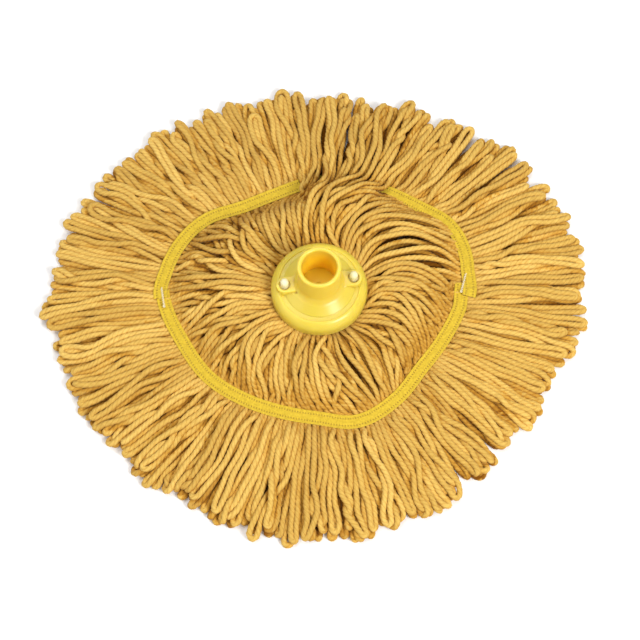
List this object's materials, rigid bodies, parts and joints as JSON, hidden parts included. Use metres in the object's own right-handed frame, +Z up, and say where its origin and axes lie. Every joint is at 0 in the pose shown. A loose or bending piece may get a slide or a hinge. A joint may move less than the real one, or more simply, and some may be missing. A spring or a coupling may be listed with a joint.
{
  "type": "string mop head",
  "caption": "Looped-end string mop head spread flat, with a round push-fit handle socket, two clamp pins and a stay-flat band sewn round the yarn.",
  "frame": {"origin": "on the floor under the axis of the handle socket, at the centre of the spread mop", "axes": "+Z up along the handle socket's bore, out of its mouth; +X along the mop's longer width; +Y towards the fan of yarn at the back"},
  "size_m": [0.42, 0.374, 0.0675],
  "materials": {
    "socket_plastic": "moulded yellow polypropylene, satin gloss, faintly translucent",
    "clamp_plastic": "moulded off-white plastic",
    "pin_plastic": "ivory white, domed and polished heads",
    "yarn": "twisted multi-ply cotton-blend yarn, golden ochre",
    "band_tape": "woven yellow tape",
    "tack_thread": "white sewing thread"
  },
  "bodies": {
    "root": {"socket": "socket_plastic", "clamp_plate": "clamp_plastic", "clamp_pins": "pin_plastic", "yarn_waist": "yarn", "band_top_front": "band_tape", "band_top_back": "band_tape", "band_under_front": "band_tape", "band_under_back": "band_tape", "bar_tack_left": "tack_thread", "bar_tack_right": "tack_thread", "yarn_back_01": "yarn", "yarn_back_02": "yarn", "yarn_back_03": "yarn", "yarn_back_04": "yarn", "yarn_back_05": "yarn", "yarn_back_06": "yarn", "yarn_back_07": "yarn", "yarn_back_08": "yarn", "yarn_back_09": "yarn", "yarn_back_10": "yarn", "yarn_back_11": "yarn", "yarn_back_12": "yarn", "yarn_front_01": "yarn", "yarn_front_02": "yarn", "yarn_front_03": "yarn", "yarn_front_04": "yarn", "yarn_front_05": "yarn", "yarn_front_06": "yarn", "yarn_front_07": "yarn", "yarn_front_08": "yarn", "yarn_front_09": "yarn", "yarn_front_10": "yarn", "yarn_front_11": "yarn", "yarn_front_12": "yarn"}
  },
  "joints": []
}
